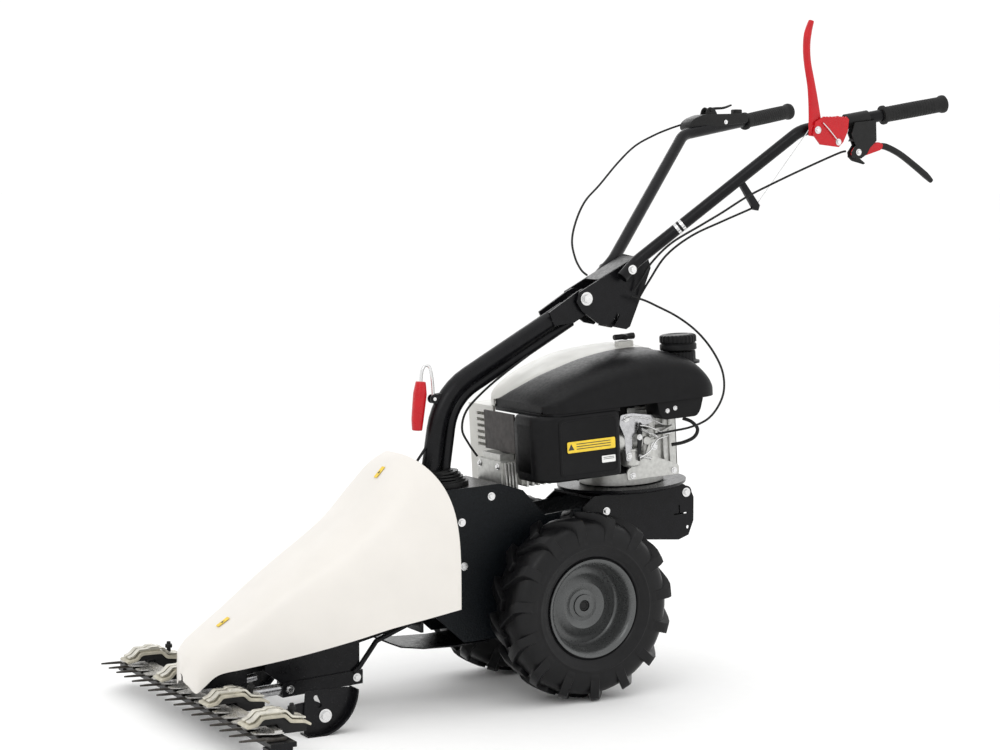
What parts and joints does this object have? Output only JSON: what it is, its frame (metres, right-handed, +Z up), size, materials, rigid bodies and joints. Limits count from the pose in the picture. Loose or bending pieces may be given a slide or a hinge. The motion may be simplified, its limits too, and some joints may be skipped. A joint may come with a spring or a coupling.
{
  "type": "brush mower",
  "caption": "Walk-behind brush mower with a front cutter bar under a tapered hood, tractor-lug wheels, a vertical-shaft engine and a side-shifting handlebar.",
  "frame": {"origin": "on the ground, under the middle of the machine's bounding box", "axes": "+Z up, -Y the way the machine travels, +X the machine's left"},
  "size_m": [0.87, 1.7767, 1.48],
  "materials": {
    "frame_black": "satin powder coat",
    "gear_iron": "painted casting",
    "hood_white": "satin moulded plastic",
    "label_yellow": null,
    "tyre_rubber": "worn tread",
    "rim_grey": "silver-grey paint",
    "bar_steel": "rolled steel",
    "blade_steel": "ground edges",
    "finger_steel": "forged, oiled",
    "holder_plated": "zinc plated",
    "bolt_chrome": "bright zinc",
    "shaft_steel": "turned",
    "gear_brass": "bronze worm wheel",
    "belt_rubber": "fabric faced rubber",
    "engine_alu": "die cast",
    "engine_black": "moulded, fine grain",
    "shroud_grey": "moulded, satin",
    "panel_brown": "heat shield",
    "cable_black": "cable sheath",
    "grip_rubber": "soft ribbed grip",
    "lever_red": "red moulded and painted controls",
    "lever_black": "moulded controls"
  },
  "bodies": {
    "chassis": {"side_plates": "frame_black", "gearbox_case": "gear_iron", "gearbox_cover": "frame_black", "belly_guard": "frame_black", "rear_bracket": "frame_black", "bearings": "shaft_steel", "frame_bolts": "bolt_chrome", "drive_belt": "belt_rubber", "carrier_beam": "frame_black", "knife_drive_case": "frame_black", "support_rods": "shaft_steel", "bar_beam": "bar_steel", "guard_fingers": "finger_steel", "knife_holders": "holder_plated", "hood": "hood_white", "warning_labels": "label_yellow", "engine_flange": "frame_black", "engine_block": "engine_alu", "cylinder_head": "engine_alu", "engine_front_cover": "shroud_grey", "fan_shroud": "shroud_grey", "fuel_tank": "engine_black", "air_box": "engine_black", "exhaust_shield": "panel_brown", "carburettor": "engine_alu", "fuel_hose": "cable_black", "throttle_cable": "cable_black"},
    "axle": {"axle_shaft": "shaft_steel", "worm_wheel": "gear_brass"},
    "input": {"worm_shaft": "shaft_steel", "driven_pulley": "gear_iron"},
    "crank": {"crank_pulley": "gear_iron"},
    "left_wheel": {"left_tyre": "tyre_rubber", "left_rim": "rim_grey"},
    "right_wheel": {"right_tyre": "tyre_rubber", "right_rim": "rim_grey"},
    "knife": {"knife_blades": "blade_steel", "knife_head": "shaft_steel"},
    "rocker": {"rocker_arm": "shaft_steel"},
    "left_skid": {"left_skid": "frame_black"},
    "right_skid": {"right_skid": "frame_black"},
    "fuel_cap": {"fuel_cap": "engine_black"},
    "starter_grip": {"starter_grip": "lever_black"},
    "column": {"column_base": "lever_black", "column_tubes": "frame_black", "column_cable": "cable_black"},
    "lock_lever": {"lock_lever": "lever_red"},
    "handlebar": {"handle_bracket": "frame_black", "left_bar": "frame_black", "right_bar": "frame_black", "grips": "grip_rubber", "bracket_bolts": "bolt_chrome", "lever_mount": "lever_red", "clutch_mount": "lever_black", "throttle_case": "lever_black", "cable_clips": "bolt_chrome", "handle_cables": "cable_black"},
    "drive_lever": {"drive_lever": "lever_red"},
    "clutch_lever": {"clutch_lever": "lever_red"},
    "throttle_lever": {"throttle_lever": "lever_black"}
  },
  "joints": [
    {"name": "left_wheel_spin", "type": "hinge", "parent": "chassis", "child": "left_wheel", "pos_m": [0.162, 0.012, 0.205], "axis": [1, 0, 0], "continuous": true},
    {"name": "right_wheel_spin", "type": "hinge", "parent": "chassis", "child": "right_wheel", "pos_m": [-0.162, 0.012, 0.205], "axis": [1, 0, 0], "continuous": true},
    {"name": "input_spin", "type": "hinge", "parent": "chassis", "child": "input", "pos_m": [0, -0.06214, 0.30089], "axis": [0, -0.0576, 0.9983], "continuous": true},
    {"name": "axle_spin", "type": "hinge", "parent": "chassis", "child": "axle", "pos_m": [0, 0.012, 0.205], "axis": [1, 0, 0], "continuous": true},
    {"name": "crank_spin", "type": "hinge", "parent": "chassis", "child": "crank", "pos_m": [0, 0.21429, 0.39696], "axis": [0, -0.0576, 0.9983], "continuous": true},
    {"name": "knife_slide", "type": "slide", "parent": "chassis", "child": "knife", "axis": [1, 0, 0], "range_m": [-0.025, 0.025]},
    {"name": "rocker_swing", "type": "hinge", "parent": "chassis", "child": "rocker", "pos_m": [0, -0.743, 0.1], "axis": [0, 0, -1], "range_deg": [-24, 24]},
    {"name": "left_skid_tilt", "type": "hinge", "parent": "chassis", "child": "left_skid", "pos_m": [0.2, -0.617, 0.038], "axis": [1, 0, 0], "range_deg": [-12, 12]},
    {"name": "right_skid_tilt", "type": "hinge", "parent": "chassis", "child": "right_skid", "pos_m": [-0.2, -0.617, 0.038], "axis": [1, 0, 0], "range_deg": [-12, 12]},
    {"name": "fuel_cap_turn", "type": "hinge", "parent": "chassis", "child": "fuel_cap", "pos_m": [0.08, 0.31037, 0.7631], "axis": [0, -0.0576, 0.9983], "range_deg": [0, 90]},
    {"name": "starter_pull", "type": "slide", "parent": "chassis", "child": "starter_grip", "axis": [0, 1, 0], "range_m": [0, 0.35], "stiffness_N_per_m": 8, "springref_m": -0.2},
    {"name": "column_swivel", "type": "hinge", "parent": "chassis", "child": "column", "pos_m": [0, -0.25071, 0.47032], "axis": [0, -0.0576, 0.9983], "range_deg": [-20, 20], "deforming": ["throttle_cable", "column_cable"]},
    {"name": "lock_release", "type": "hinge", "parent": "column", "child": "lock_lever", "pos_m": [0, -0.267, 0.655], "axis": [-1, 0, 0], "range_deg": [0, 25], "stiffness_Nm_per_rad": 2, "springref_deg": -11.46},
    {"name": "handlebar_tilt", "type": "hinge", "parent": "column", "child": "handlebar", "pos_m": [0, 0.098, 0.865], "axis": [1, 0, 0], "range_deg": [-12, 12], "deforming": ["handle_cables"]},
    {"name": "drive_lever_pull", "type": "hinge", "parent": "handlebar", "child": "drive_lever", "pos_m": [0.273, 0.542, 1.238], "axis": [-1, 0, 0], "range_deg": [0, 58]},
    {"name": "clutch_squeeze", "type": "hinge", "parent": "handlebar", "child": "clutch_lever", "pos_m": [0.277, 0.652, 1.19], "axis": [1, 0, 0], "range_deg": [0, 20], "stiffness_Nm_per_rad": 3, "springref_deg": -14.32},
    {"name": "throttle_move", "type": "hinge", "parent": "handlebar", "child": "throttle_lever", "pos_m": [-0.265, 0.616, 1.299], "axis": [1, 0, 0], "range_deg": [0, 35]}
  ],
  "couplings": [
    {"joint": "crank_spin", "follows": "input_spin", "ratio": 1.5946},
    {"joint": "axle_spin", "follows": "input_spin", "ratio": 0.04},
    {"joint": "rocker_swing", "follows": "knife_slide", "rad_per_m": -15.873}
  ]
}
